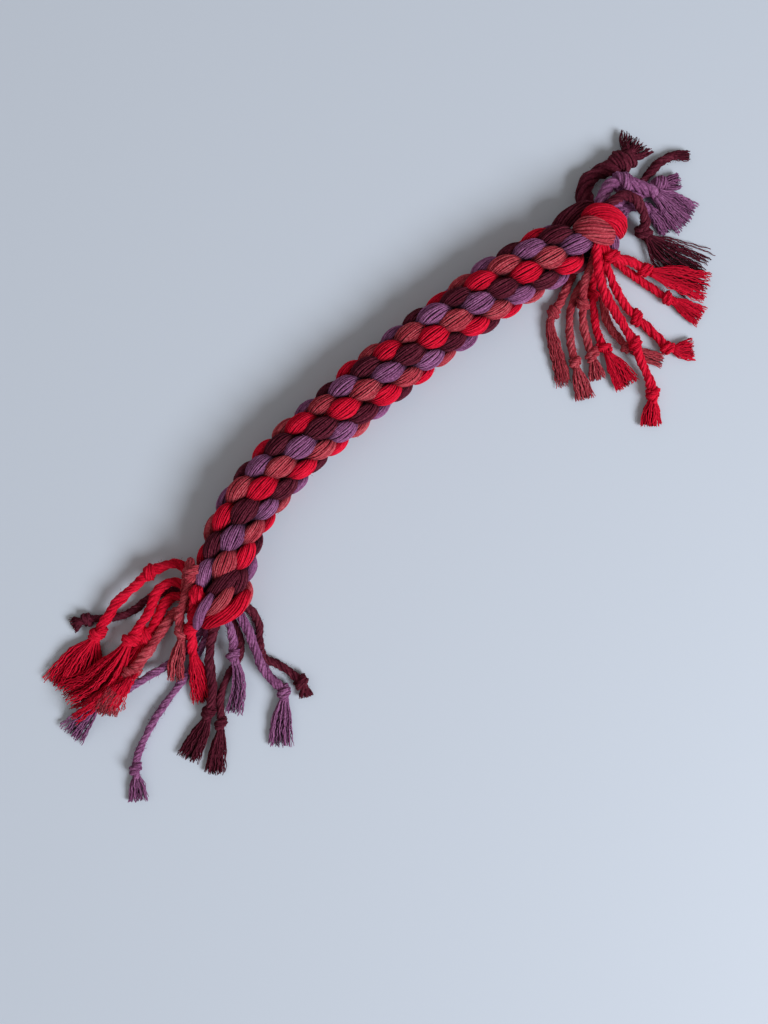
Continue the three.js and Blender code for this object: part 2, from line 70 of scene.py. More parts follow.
# The same for a stitch of soft cotton, which swells towards the end where it goes down
SOFT_RINGS = [
    (-0.28, -0.66, 0.48, 0.12, 0.11),
    (-0.24, -0.43, 0.72, 0.2, 0.165),
    (-0.09, -0.15, 0.82, 0.34, 0.27),
    (0.12, 0.19, 0.84, 0.36, 0.28),
    (0.25, 0.47, 0.74, 0.26, 0.225),
    (0.28, 0.68, 0.5, 0.13, 0.12),
]
ROPE_RADIUS = ROPE_DIAMETER / 2
FLAT_DEPTH = 0.033 * ROPE_DIAMETER
ROPE_AXIS_HEIGHT = ROPE_RADIUS - FLAT_DEPTH
LEVEL_HEIGHT = ROPE_DIAMETER / 10
ON_SURFACE = 0.9
FULL_TURN = 2 * math.pi
UP = np.array([0.0, 0.0, 1.0])
BRAID_COLOURS = ["red", "plum", "coral", "red", "purple", "coral", "plum", "purple"]
CORD_STEP = 2.4 * TAIL_DIAMETER
SPAN_SAMPLES = 20
BIGHT_ENDS = 0.7
# A knot's rings: place along in diameters and distance out in radii. A tassel's: share of its
# length, share of its spread, and thickness in radii
KNOT_RINGS = [(-0.8, 1.02), (-0.35, 1.5), (0.35, 1.5), (0.8, 1.02)]
TASSEL_RINGS = [(0.3, 0.7, 0.95), (0.75, 1.0, 0.85), (1.0, 0.92, 0.6)]
# How pieces settle: the rounds, the pull towards the drawn route, and the sinking in each round
SETTLE_ROUNDS = 260
STILL_ROUNDS = 60
HOLD = 0.04
HOLD_UP = 0.01
HELD_RINGS = 3
SINK = 0.01 * TAIL_DIAMETER
FLAT_PUSH = 0.45
LISTEN_GAP = 3 * TAIL_DIAMETER
REFRESH = 10
SMOOTHING, STILL_SMOOTHING = 0.3, 0.05
END_RINGS = 15


def place(x_px, y_px, height):
    """A photograph pixel at a height above the floor, in the part's frame, in millimetres."""
    scale = VIEW_SCALE * (1 - height / VIEW_HEIGHT)
    right = (x_px - VIEW_MIDDLE_PX[0]) * scale
    up = (VIEW_MIDDLE_PX[1] - y_px) * scale
    along = right * math.cos(ROPE_TURN) + up * math.sin(ROPE_TURN)
    across = up * math.cos(ROPE_TURN) - right * math.sin(ROPE_TURN)
    return np.array([along - ORIGIN_ALONG, across - ORIGIN_ACROSS, height])


# Camera: straight above the photograph's middle, turned so that the rope lies as it does there
camera_data = bpy.data.cameras.new("camera")
camera_data.sensor_fit = "VERTICAL"
camera_data.angle = 2 * math.atan(VIEW_FRAME_HEIGHT_PX * VIEW_SCALE / 2 / VIEW_HEIGHT)
camera_data.clip_start = 0.01
camera = bpy.data.objects.new("camera", camera_data)
camera.location = Vector(place(*VIEW_MIDDLE_PX, 0) * MM) + Vector((0, 0, VIEW_HEIGHT * MM))
camera.rotation_euler = (0, 0, -ROPE_TURN)
bpy.context.scene.collection.objects.link(camera)
bpy.context.scene.camera = camera


def unit(v):
    v = np.asarray(v, float)
    return v / np.maximum(np.linalg.norm(v, axis=-1, keepdims=True), 1e-12)


def section(centre, out):
    """Run, side and rise at each point of a line whose outward direction is given."""
    run = unit(np.gradient(centre, axis=0))
    side = unit(np.cross(run, out))
    return run, side, np.cross(side, run)


def lengths_along(centre):
    chords = np.linalg.norm(np.diff(centre, axis=0), axis=1)
    return np.concatenate([[0], np.cumsum(chords)])


def span_ends(values, place_in):
    """The four neighbours of each place between values, and the share of its span."""
    i = np.minimum(place_in.astype(int), len(values) - 2)
    padded = np.vstack([2 * values[0] - values[1], values, 2 * values[-1] - values[-2]])
    return (*(padded[i + k] for k in range(4)), (place_in - i)[:, None])


def interpolated(at, places, values):
    return np.column_stack([np.interp(at, places, column) for column in values.T])


def cubic(p1, p2, t1, t2, w):
    c2 = -3 * p1 + 3 * p2 - 2 * t1 - t2
    c3 = 2 * p1 - 2 * p2 + t1 + t2
    return p1 + t1 * w + c2 * w**2 + c3 * w**3


class Curve:
    """A smooth line through points, as the part draws it, with its length measured in chords."""

    def __init__(self, points, divisions=200):
        self.points = np.asarray(points, float)
        self.shares = np.linspace(0, 1, divisions + 1)
        self.lengths = lengths_along(self.at(self.shares))
        self.total = self.lengths[-1]

    def at(self, share):
        share = np.atleast_1d(np.asarray(share, float))
        place_in = np.clip(share, 0, 1) * (len(self.points) - 1)
        p0, p1, p2, p3, w = span_ends(self.points, place_in)
        d0, d1, d2 = (
            (((a - b) ** 2).sum(1) ** 0.25)[:, None] for a, b in ((p0, p1), (p1, p2), (p2, p3))
        )
        t1 = ((p1 - p0) / d0 - (p2 - p0) / (d0 + d1) + (p2 - p1) / d1) * d1
        t2 = ((p2 - p1) / d1 - (p3 - p1) / (d1 + d2) + (p3 - p2) / d2) * d1
        return cubic(p1, p2, t1, t2, w)

    def share_of(self, distance):
        return np.interp(distance, self.lengths, self.shares)

    def at_distance(self, distance):
        return self.at(self.share_of(distance))

    def tangent(self, distance):
        share = self.share_of(np.atleast_1d(distance))
        low = np.clip(share - 1e-4, 0, 1)
        high = np.clip(share + 1e-4, 0, 1)
        return unit(self.at(high) - self.at(low))


ROPE_LINE_PX = [
    (217, 612), (226, 566), (243.5, 516), (286, 461.5), (338, 413), (394, 366), (451, 321),
    (510, 280), (560, 249.5), (604.5, 226),
]
rope_line = Curve([place(x, y, ROPE_AXIS_HEIGHT) for x, y in ROPE_LINE_PX])
rope_length = rope_line.total


def rope_frame(along):
    along = np.clip(np.atleast_1d(along), 0, rope_length)
    step = rope_length / 400
    tangent = rope_line.tangent(along)
    before = rope_line.tangent(np.maximum(along - step, 0))
    after = rope_line.tangent(np.minimum(along + step, rope_length))
    side = np.cross(tangent, UP)
    bend = ((after - before) * side).sum(1) / (2 * step)
    return rope_line.at_distance(along), side, bend


def braid_rings(first_column, stitch_rings):
    """The rings of one braid cord: centre, outward direction, half width and half thickness."""
    # Neighbouring columns lie half a stitch apart
    offset = (first_column % 2) * 0.5
    rows = []
    stitch = FIRST_LEVELS[first_column] - offset
    while stitch <= LAST_LEVELS[first_column] - offset:
        for column, level, out, wide, thick in stitch_rings:
            rows.append((
                first_column - COLUMNS_BACK * stitch + column,
                RED_STITCH_ALONG + (stitch + offset + level) * STITCH_PITCH,
                out, wide, thick,
            ))
        stitch += 1
    column, along, out, wide, thick = np.array(rows, float).T
    angle = column / COLUMN_COUNT * FULL_TURN + LATTICE_DRIFT * along / rope_length
    centre, side, bend = rope_frame(along)
    outward = side * np.sin(angle)[:, None] + UP * np.cos(angle)[:, None]
    reach = out * ROPE_RADIUS
    squeeze = np.minimum(1, 1 - bend * (reach + thick * ROPE_RADIUS) * np.sin(angle))
    return {
        "axis": centre,
        "centre": centre + outward * reach[:, None],
        "out": outward,
        "wide": wide * ROPE_RADIUS * squeeze,
        "thick": thick * ROPE_RADIUS * squeeze,
    }


# Routes of the end pieces, as in the part: photograph pixels and a height in tenths of the rope's
# thickness, or none where the piece lies on the surface. Each bight: its name, width and thickness
# in tail diameters, the first millimetres that lie hidden, how much fuller it lies than its solid
BIGHTS = [
    ("upper_bight_red", 1.75, 1.4, 2.0, 1.05,
     [(586, 215, 7.4), (597, 212, 8.6), (608, 214, 8.8), (617, 221, 8), (620, 230, 6)]),
    ("upper_bight_coral", 2.1, 1.35, 0, 1.2,
     [(582, 229, 8.6), (590, 230, 9), (599, 233, 8.6), (608, 237, 7)]),
    ("upper_bight_purple", 1.6, 1.1, 0, 1.15,
     [(606, 236, 5.6), (609, 243, 4.8), (608, 250, 3.8)]),
    ("upper_bight_plum", 1.7, 1.2, 0, 1.15,
     [(558, 228, 5), (567, 219, 5.8), (578, 212, 6), (588, 209, 5.6), (595, 211, 5)]),
    ("lower_bight_red", 1.35, 1.2, 8.0, 1.35,
     [(243, 583, 5.4), (239, 593, 7.4), (232, 604, 8.4), (221, 612, 8.3), (210, 617, 7), (203, 621, 5)]),
    ("lower_bight_coral", 1.1, 1.1, 1.5, 1.25,
     [(231, 590, 8.2), (225, 598, 8.8), (216, 605, 8.7), (207, 610, 7.6)]),
    ("lower_bight_plum", 1.15, 1.1, 0, 1.4,
     [(234, 577, 7.6), (226, 583, 8.4), (217, 590, 8.4), (210, 597, 7.4)]),
    ("lower_bight_purple", 1.2, 1.1, 0, 0.92,
     [(210, 595, 8), (205, 603, 8.2), (201, 612, 7.2), (198, 621, 5.4)]),
]
# Each tail: its name, knots as places in the route, tassel width in pixels, what is its own, and
# its route. Its own are shares of the usual: its cord as in the part (cord) and as it lies here
# (loose), and its tassel's width (opened), length (long), yarns (threads) and height (mound). It
# may fray from another place than its last knot, have more knots, at millimetres from its start,
# sag to the surface, or lie over another tail
TAILS = [
    ("upper_coral_tail_1", [4], 15, {},
     [(588, 251, 2.6), (577, 269, 1.4), (567, 289), (561, 302), (554, 313), (551, 325), (556, 346),
      (562, 367, 0.8), (567, 387, 0.7)]),
    ("upper_coral_tail_2", [6], 20, {},
     [(591, 251, 3.8), (583, 272, 2.4), (574, 292, 1.2), (569, 312), (569, 332), (571, 348), (574, 362),
      (577, 375), (581, 388, 0.8), (584, 400, 0.7)]),
    ("upper_coral_tail_3", [3, 6], 16, dict(loose=1.15),
     [(593, 252, 5.2), (587, 268, 4), (582, 285, 2.6), (583, 303, 1.6), (583, 320, 1), (587, 339),
      (592, 354), (594, 364), (597, 381, 0.7)]),
    ("upper_red_tail_1", [2, 5], 24, dict(opened=1.2),
     [(596, 252, 3), (592, 273, 2.6), (591, 294, 2), (593, 313, 1.2), (596, 333), (603, 348), (610, 359),
      (619, 372), (628, 387, 0.7)]),
    ("upper_coral_tail_4", [5], 14, {},
     [(601, 255, 1.6), (599, 281, 1), (600, 305), (607, 325), (617, 338), (627, 347), (638, 352),
      (651, 357, 0.8), (664, 361, 0.7)]),
    ("upper_red_tail_2", [6, 9], 21, dict(loose=1.2),
     [(596, 246, 6.6), (597, 262, 5.8), (600, 281, 4.8), (607, 300, 4), (617, 317, 3.2), (626, 333, 2.6),
      (632, 345, 2.2), (639, 362, 1.6), (648, 380, 1), (652, 393, 1), (652, 404), (651, 415, 0.8),
      (651, 427, 0.7)]),
    ("upper_red_tail_3", [4, 7], 20, dict(loose=1.15, opened=1.25),
     [(600, 250, 4.8), (608, 271, 4), (616, 290, 3), (626, 306, 2.2), (636, 317, 1.6), (648, 328, 1.2),
      (658, 338, 1), (667, 348, 1), (677, 350), (686, 350, 0.8), (694, 349, 0.7)]),
    ("upper_red_tail_4", [4], 18, dict(opened=1.25),
     [(604, 251, 3.2), (618, 265, 2.2), (635, 277, 1.4), (651, 288, 1), (667, 298, 1), (679, 304),
      (690, 311, 0.8), (702, 318, 0.7)]),
    ("upper_red_tail_5", [1, 4], 26, dict(loose=1.2, opened=1.3, long=1.08),
     [(601, 247, 6.8), (610, 256, 6.2), (622, 260, 5), (633, 263, 3.8), (644, 270, 2.8), (660, 275, 1.8),
      (680, 280, 1.2), (703, 287, 0.7)]),
    ("upper_plum_tail_1", [6], 26, dict(cord=1.7, loose=1.16, opened=1.5, long=1.25, threads=0.6),
     [(597, 218, 4), (593, 209, 3.6), (586, 198, 3.4), (586, 185, 3.2), (595, 174, 2.8), (608, 168, 2.4),
      (621, 162, 2), (629, 154, 1.4), (636, 144)]),
    ("upper_plum_tail_2", [], 10, dict(loose=1.2),
     [(610, 210, 1.8), (624, 198, 1.2), (639, 186, 1), (650, 173), (661, 162), (674, 156, 0.8),
      (690, 156, 0.7)]),
    ("upper_purple_tail_1", [3], 26, dict(frayed_from=5, loose=1.7, opened=1.45),
     [(599, 215, 6), (602, 197, 6.4), (611, 184, 5.8), (622, 182, 5.4), (639, 186, 4.4), (655, 194, 3),
      (667, 202, 2), (679, 211, 1.4), (690, 220, 0.8)]),
    ("upper_purple_tail_2", [4], 13, dict(loose=1.55, opened=1.3),
     [(605, 215, 4.8), (621, 200, 4.4), (635, 195, 3.6), (648, 190, 2.4), (659, 187, 1.6), (669, 184, 1),
      (680, 181, 0.7)]),
    ("upper_purple_tail_3", [], 13, dict(frayed_from=3, loose=1.5, opened=1.5),
     [(609, 216, 3), (625, 208, 2.6), (640, 206, 2), (651, 212, 1.6), (661, 222, 1), (669, 234, 0.7)]),
    ("upper_plum_tail_3", [6], 34, dict(loose=1.3, opened=1.5, long=1.34, threads=0.42),
     [(600, 218, 7.2), (610, 203, 8), (622, 195, 8), (634, 197, 7.2), (642, 207, 5.8), (646, 220, 3.8),
      (645, 231, 2.4), (655, 242, 1.8), (672, 256, 1.4), (690, 268)]),
    ("upper_purple_stub", [], 9, {},
     [(610, 219, 5), (618, 215, 5.4), (627, 211, 5.6)]),
    ("lower_coral_tail_1", [4, 8], 17, dict(loose=1.15),
     [(192, 602, 3.4), (190, 587, 4.4), (191, 571, 5.4), (194, 561, 7), (195, 572, 8.2), (190, 588, 7.6),
      (184, 604, 6.2), (180, 619, 5), (184, 633, 4), (181, 648, 3), (177, 664, 2), (177, 680, 1.2)]),
    ("lower_red_tail_1", [1, 3], 19, dict(frayed_from=6, loose=1.2, opened=1.35,
     more_knots=(10.0, 24.0, 33.0)),
     [(207, 600, 6), (201, 590, 7.6), (195, 601, 7.2), (195, 615, 5.8), (190, 627, 4.6), (190, 640, 3.6),
      (192, 654, 2.6), (197, 671, 1.8), (201, 687, 1.2), (205, 704, 0.8)]),
    ("lower_red_tail_2", [4, 8], 34, dict(loose=1.3, opened=1.75, long=1.1, mound=1.9,
     over="lower_purple_tail_1"),
     [(191, 587, 4.2), (187, 574, 4.8), (179, 566, 4.8), (165, 567, 4.2), (150, 573, 3.4), (134, 587, 2.6),
      (120, 600, 1.8), (108, 617, 1.2), (99, 632, 1.1), (90, 650, 1), (80, 669), (70, 690, 0.7)]),
    ("lower_red_tail_3", [6], 28, dict(loose=1.4, opened=1.65, mound=2.1, over="lower_purple_tail_1"),
     [(194, 592, 2.8), (184, 583, 3.4), (171, 581, 3.8), (158, 591, 4), (150, 611, 3.6), (140, 627, 3.2),
      (133, 640, 2.8), (126, 655, 2.4), (115, 672, 2), (98, 689, 1.4), (70, 703)]),
    ("lower_red_tail_4", [5], 26, dict(loose=1.45, opened=1.35, mound=1.8, over="lower_purple_tail_1"),
     [(196, 602, 2.2), (184, 596, 2.4), (171, 597, 2.6), (162, 609, 2.6), (156, 623, 2.2), (148, 636, 1.8),
      (138, 655, 1.4), (124, 679, 1), (108, 703, 0.7)]),
    ("lower_coral_tail_2", [5], 19, dict(loose=1.35, opened=1.2, over="lower_purple_tail_1"),
     [(202, 612, 1.2), (188, 607, 1), (174, 613, 1), (162, 629), (148, 650), (133, 670), (123, 684),
      (114, 697, 0.8), (107, 712, 0.7)]),
    ("lower_plum_tail_1", [7], 15, {},
     [(196, 582, 1.4), (186, 588, 1), (170, 592), (150, 598), (134, 611), (116, 618), (100, 619),
      (88, 620), (80, 622, 0.8), (72, 626, 0.7)]),
    ("lower_purple_tail_1", [5], 24, dict(opened=1.25, long=1.2, threads=0.6, sagging=True),
     [(208, 618, 1.6), (195, 640, 1), (175, 660), (151, 673), (125, 687), (105, 699), (95, 708),
      (85, 718, 0.8), (75, 730, 0.7)]),
    ("lower_purple_tail_2", [7], 21, dict(opened=1.15, threads=0.75),
     [(210, 622, 3), (203, 645, 2), (191, 671, 1.2), (174, 693), (157, 716), (145, 738), (138, 755),
      (136, 768), (137, 780), (138, 790, 0.8), (139, 802, 0.7)]),
    ("lower_plum_tail_2", [4], 22, dict(loose=1.2, opened=1.15),
     [(215, 622, 4.2), (210, 640, 3), (208, 660, 2), (211, 685, 1.2), (209, 710), (204, 726),
      (196, 742, 0.8), (187, 760, 0.7)]),
    ("lower_plum_tail_3", [5], 20, dict(opened=1.15),
     [(231, 618, 1.2), (240, 636), (240, 656), (229, 675), (221, 697), (222, 722), (220, 738),
      (217, 755, 0.8), (214, 775, 0.7)]),
    ("lower_purple_tail_3", [3], 17, dict(threads=0.7),
     [(225, 614, 4.8), (230, 627, 4), (233, 641, 3), (233, 654, 2.4), (237, 671, 1.8), (237, 691, 1.4),
      (231, 716, 0.8)]),
    ("lower_purple_tail_4", [6], 25, dict(loose=1.25, threads=0.7),
     [(234, 608, 4.2), (243, 619, 3.4), (251, 635, 2.6), (257, 650, 2.2), (263, 665, 1.8), (272, 678, 1.4),
      (284, 691, 1.1), (283, 707, 1), (281, 725, 0.8), (280, 747, 0.7)]),
    ("lower_plum_tail_4", [8], 15, dict(loose=1.2),
     [(234, 601, 2.4), (245, 606, 2.4), (254, 614, 1.8), (259, 626, 1.2), (259, 642), (263, 658),
      (277, 664), (291, 673), (301, 682), (305, 690, 0.8), (307, 697, 0.7)]),
]


def routed(points):
    return [place(x, y, (*height, ON_SURFACE)[0] * LEVEL_HEIGHT) for x, y, *height in points]


def bight_stations(wide_share, thick_share, route):
    curve = Curve(routed(route))
    steps = len(route)
    along = np.linspace(0, curve.total, steps + 1)
    share = np.ones(steps + 1)
    share[[0, -1]] = BIGHT_ENDS
    return {
        "curve": curve, "along": along, "centre": curve.at_distance(along),
        "wide": wide_share * TAIL_DIAMETER * share / 2,
        "thick": thick_share * TAIL_DIAMETER * share / 2,
    }


def tail_stations(knots, spread_px, own, route):
    curve = Curve(routed(route), (len(route) - 1) * SPAN_SAMPLES)
    diameter = TAIL_DIAMETER * own.get("cord", 1)
    radius = diameter / 2
    marks = [(0.0, radius, radius)]
    for knot in knots:
        for share, out in KNOT_RINGS:
            at = curve.lengths[knot * SPAN_SAMPLES] + share * diameter
            marks.append((at, out * radius, out * radius))
    frayed = curve.total - 2 * diameter
    if knots or "frayed_from" in own:
        frayed = curve.lengths[own.get("frayed_from", max([0, *knots])) * SPAN_SAMPLES]
    frayed = max(frayed, marks[-1][0])
    if frayed > marks[-1][0]:
        marks.append((frayed, radius, radius))
    spread = spread_px * VIEW_SCALE / 2
    for share, wide_share, thick_share in TASSEL_RINGS:
        wide = radius + (max(spread, radius) - radius) * wide_share
        marks.append((frayed + (curve.total - frayed) * share, wide, radius * thick_share))
    filled = []
    for i, mark in enumerate(marks):
        filled.append(mark)
        if i + 1 == len(marks) or mark[0] >= frayed:
            continue
        gap = marks[i + 1][0] - mark[0]
        extra = math.floor(gap / CORD_STEP + 0.5) - 1
        for k in range(1, extra + 1):
            filled.append((mark[0] + gap * k / (extra + 1), radius, radius))
    along, wide, thick = np.array(filled).T
    return {
        "curve": curve, "along": along, "frayed": frayed, "radius": radius, "own": own,
        "knots": [curve.lengths[k * SPAN_SAMPLES] for k in knots],
        "centre": curve.at_distance(along), "wide": wide, "thick": thick,
    }


def stretch_marks(rings):
    """Spheres that fill the stretches between rings: ring, share of the stretch, radius, offset."""
    marks = []
    centre, wide, thick = rings["centre"], rings["wide"], rings["thick"]
    for i in range(len(centre) - 1):
        least = min(thick[i], thick[i + 1])
        gap = float(np.linalg.norm(centre[i + 1] - centre[i]))
        count = max(1, math.ceil(gap / (0.9 * least)))
        for k in range(count + (1 if i + 2 == len(centre) else 0)):
            share = k / count
            radius = thick[i] + (thick[i + 1] - thick[i]) * share
            beside = max(wide[i] + (wide[i + 1] - wide[i]) * share - radius, 0)
            rows = math.ceil(beside / radius)
            for row in range(-rows, rows + 1):
                marks.append((i, share, radius, row / rows * beside if rows else 0.0))
    return np.array(marks)


def marks_at(centre, side, ring, share, beside):
    at = centre[ring] * (1 - share) + centre[ring + 1] * share
    return at + (side[ring] * (1 - share) + side[ring + 1] * share) * beside


def settle(locked, loose, fixed):
    """The part's own settling: pieces that lie too close part, mostly in height."""
    bodies = locked + loose
    first = np.cumsum([0] + [len(b["centre"]) for b in bodies])
    centre = np.vstack([b["centre"] for b in bodies])
    home = centre.copy()
    thick = np.concatenate([b["thick"] for b in bodies])
    number = np.concatenate([np.arange(len(b["centre"])) for b in bodies])
    index = np.arange(len(centre))
    freedom = np.minimum(1, number / HELD_RINGS) * (index >= first[len(locked)])
    before = index - (number > 0)
    after = index + (np.append(number[1:], 0) > 0)
    marks = [stretch_marks(b) for b in bodies]
    owner = np.repeat(np.arange(len(marks)), [len(m) for m in marks])
    marks = np.vstack(marks)
    ring = marks[:, 0].astype(int) + first[owner]
    share, radius, beside = marks[:, 1:2], marks[:, 2], marks[:, 3:4]
    fixed_at, fixed_radius = [], []
    for rings in fixed:
        m = stretch_marks(rings)
        fixed_at.append(
            marks_at(rings["centre"], rings["side"], m[:, 0].astype(int), m[:, 1:2], m[:, 3:4])
        )
        fixed_radius.append(m[:, 2])
    fixed_at = np.vstack(fixed_at)
    fixed_radius = np.concatenate(fixed_radius)
    for step in range(SETTLE_ROUNDS + STILL_ROUNDS):
        still = step >= SETTLE_ROUNDS
        side = unit(np.cross(unit(centre[after] - centre[before]), UP))
        at = marks_at(centre, side, ring, share, beside)
        if step % REFRESH == 0:
            pair_a, pair_b, lone_a, lone_f = [], [], [], []
            for a in range(len(at)):
                near = np.linalg.norm(at[a + 1:] - at[a], axis=1) < LISTEN_GAP
                b = np.nonzero(near & (owner[a + 1:] != owner[a]))[0] + a + 1
                pair_a.append(np.full(len(b), a))
                pair_b.append(b)
                f = np.nonzero(np.linalg.norm(fixed_at - at[a], axis=1) < LISTEN_GAP)[0]
                lone_a.append(np.full(len(f), a))
                lone_f.append(f)
            pair_a, pair_b = np.concatenate(pair_a), np.concatenate(pair_b)
            lone_a, lone_f = np.concatenate(lone_a), np.concatenate(lone_f)
        push = np.zeros_like(centre)
        load = np.zeros(len(centre))

        def part(a, others_at, others_radius, sides):
            apart = at[a] - others_at
            distance = np.maximum(np.linalg.norm(apart, axis=1), CORD_CLEARANCE / 10)
            short = radius[a] + others_radius + CORD_CLEARANCE - distance
            hit = short > 0
            apart = apart[hit]
            if not still:
                apart = apart * np.array([FLAT_PUSH, FLAT_PUSH, 1])
            apart = unit(apart)
            moved = (short[hit] / len(sides))[:, None]
            for marks_hit, sign in sides:
                m = marks_hit[hit]
                s = share[m]
                np.add.at(push, ring[m], sign * apart * moved * (1 - s))
                np.add.at(push, ring[m] + 1, sign * apart * moved * s)
                np.add.at(load, ring[m], 1 - s[:, 0])
                np.add.at(load, ring[m] + 1, s[:, 0])

        part(pair_a, at[pair_b], radius[pair_b], [(pair_a, 1), (pair_b, -1)])
        part(lone_a, fixed_at[lone_f], fixed_radius[lone_f], [(lone_a, 1)])
        centre += push / np.maximum(load, 1)[:, None]
        if not still:
            centre += (home - centre) * HOLD
            centre[:, 2] += (centre[:, 2] - home[:, 2]) * (HOLD - HOLD_UP) * freedom
            centre[:, 2] -= SINK * freedom
        shifts = centre - home
        mean = (shifts[before] + shifts[after]) / 2 - shifts
        centre += mean * (STILL_SMOOTHING if still else SMOOTHING)
        centre[:, 2] = np.maximum(centre[:, 2], thick + SURFACE_CLEARANCE)
    for n, body in enumerate(bodies):
        body["shift"] = (centre - home)[first[n]:first[n + 1]]


end_rings = []
for column in range(COLUMN_COUNT):
    rings = braid_rings(column, STITCH_RINGS)
    rings["side"] = section(rings["centre"], rings["out"])[1]
    for part_of in (slice(0, END_RINGS), slice(-END_RINGS, None)):
        end_rings.append({k: rings[k][part_of] for k in ("centre", "side", "wide", "thick")})
bights = [(name, trim, full, bight_stations(wide, thick, route))
          for name, wide, thick, trim, full, route in BIGHTS]
tails = [(name, spread, tail_stations(knots, spread, own, route))
         for name, knots, spread, own, route in TAILS]
settle([b[-1] for b in bights], [t[-1] for t in tails], end_rings)

# The settled shifts are evened out over this length
EVENING = 5.0


def settled_line(stations, low, high, step):
    """Points along a settled piece from one distance to another, in millimetres."""
    count = max(3, int(round((high - low) / step)) + 1)
    along = np.linspace(low, high, count)
    shift = interpolated(along, stations["along"], stations["shift"])
    width = max(1, int(round(EVENING / max((high - low) / (count - 1), 1e-6))))
    if width > 1 and count > 4:
        kernel = np.hanning(2 * width + 1)
        kernel /= kernel.sum()
        padded = np.pad(shift, ((width, width), (0, 0)), mode="edge")
        shift = np.column_stack([np.convolve(column, kernel, "valid") for column in padded.T])
    return along, stations["curve"].at_distance(along) + shift


# Cotton lower than this is pressed towards the surface
PRESSED = 0.3
# A tube's rounded ends: the last ring's width, its reach and its tip's, in radii
CAP_WIDTH, CAP_REACH, TIP_REACH = 0.55, 0.4, 0.5
YARN_SIDES = 6
HAIR_SIDES = 4


class Build:
    """Collects closed tubes into one mesh, with a map along and around each, a shade, and a depth for
    painted shade.
    """

    def __init__(self):
        self.points, self.quads, self.maps, self.shades, self.painted_shade_depths = [], [], [], [], []
        self.count = 0

    def tube(self, centre, radius, out, sides=8, shade=0.5, wide=None, start=0.0, painted_shade_depth=1.0):
        centre = np.asarray(centre, float)
        n = len(centre)
        radius, painted_shade_depth = np.full(n, radius, float), np.full(n, painted_shade_depth, float)
        wide = radius if wide is None else np.full(n, wide, float)
        run, side, rise = section(centre, out)
        angle = np.arange(sides) / sides * FULL_TURN
        body = (centre[:, None] + side[:, None] * (wide[:, None] * np.sin(angle))[..., None]
                + rise[:, None] * (radius[:, None] * np.cos(angle))[..., None])
        # Each end closes in a rounded cap
        ends, tips = [], []
        for end, way in ((0, -run[0] * radius[0]), (-1, run[-1] * radius[-1])):
            ends.append(centre[end] + (body[end] - centre[end]) * CAP_WIDTH + way * CAP_REACH)
            tips.append(centre[end] + way * TIP_REACH)
        rings = np.stack([ends[0], *body, ends[1]])
        rows = len(rings)
        along = np.pad(lengths_along(centre), 1, mode="edge") + start
        grid = self.count + np.arange(rows * sides).reshape(rows, sides)
        after = np.roll(grid, -1, axis=1)
        quads = np.stack([grid[:-1], after[:-1], after[1:], grid[1:]], -1).reshape(-1, 4)
        uv = np.stack(np.meshgrid(along, np.arange(sides + 1) / sides, indexing="ij"), -1)
        maps = np.stack([uv[:-1, :-1], uv[:-1, 1:], uv[1:, 1:], uv[1:, :-1]], 2).reshape(-1, 4, 2)
        tip = self.count + rows * sides
        caps, cap_maps = [], []
        for k in range(0, sides, 2):
            a, b, c = k, (k + 1) % sides, (k + 2) % sides
            caps.append((tip, grid[0, c], grid[0, b], grid[0, a]))
            caps.append((tip + 1, grid[-1, a], grid[-1, b], grid[-1, c]))
            for end in (0, -1):
                cap_maps.append([(along[end], (k + 1) / sides)] * 4)
        self.points += [rings.reshape(-1, 3), np.array(tips)]
        self.quads += [quads, np.array(caps)]
        self.maps += [maps, np.array(cap_maps, float)]
        self.shades.append(np.full(rows * sides + 2, shade))
        # Painted shade: each ring's shade depth goes to all its points and to both tips
        spread = np.repeat(np.pad(painted_shade_depth, 1, mode="edge"), sides)
        self.painted_shade_depths.append(np.concatenate([spread, painted_shade_depth[:1], painted_shade_depth[-1:]]))
        self.count += rows * sides + 2

    def piece(self, name, nodes=()):
        dye = next(dye for dye in DYES if dye in name.split("_"))
        points = np.vstack(self.points)
        # Cotton that would reach below the surface lies pressed on it
        low = np.minimum(points[:, 2] - PRESSED, 0)
        points[:, 2] = np.where(low < 0, PRESSED * np.exp(low / PRESSED), points[:, 2])
        points = points * MM
        quads = np.vstack(self.quads)
        mesh = bpy.data.meshes.new(name)
        mesh.vertices.add(len(points))
        mesh.vertices.foreach_set("co", points.ravel())
        mesh.loops.add(quads.size)
        mesh.loops.foreach_set("vertex_index", quads.ravel())
        mesh.polygons.add(len(quads))
        mesh.polygons.foreach_set("loop_start", np.arange(0, quads.size, 4))
        mesh.polygons.foreach_set("use_smooth", np.ones(len(quads), bool))
        mesh.update(calc_edges=True)
        layer = mesh.uv_layers.new(name="along_and_around")
        layer.data.foreach_set("uv", np.vstack(self.maps).ravel())
        # The shade depth attribute carries painted shade to the material
        for kind, values in (("shade", self.shades), ("painted_shade_depth", self.painted_shade_depths)):
            layer = mesh.attributes.new(kind, "FLOAT", "POINT")
            layer.data.foreach_set("value", np.concatenate(values).astype(np.float32))
        mesh.materials.append(COTTON[dye])
        piece = bpy.data.objects.new(name, mesh)
        bpy.context.scene.collection.objects.link(piece)
        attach(piece, "root")
        if nodes:
            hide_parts(*nodes)
        return piece


# Materials: dyed cotton with twisted fibres, streaks of lighter and darker dye, a soft sheen, and painted
# shade between yarns and deep in the rope.
# Each dye: its middle, darkest and lightest colour
DYES = {
    "red": ((0.77, 0.004, 0.034), (0.36, 0.0, 0.01), (1.0, 0.03, 0.08)),
    "coral": ((0.49, 0.046, 0.071), (0.2, 0.008, 0.018), (0.82, 0.19, 0.22)),
    "purple": ((0.3, 0.096, 0.235), (0.09, 0.02, 0.065), (0.58, 0.25, 0.5)),
    "plum": ((0.108, 0.01, 0.026), (0.03, 0.002, 0.007), (0.25, 0.05, 0.08)),
}
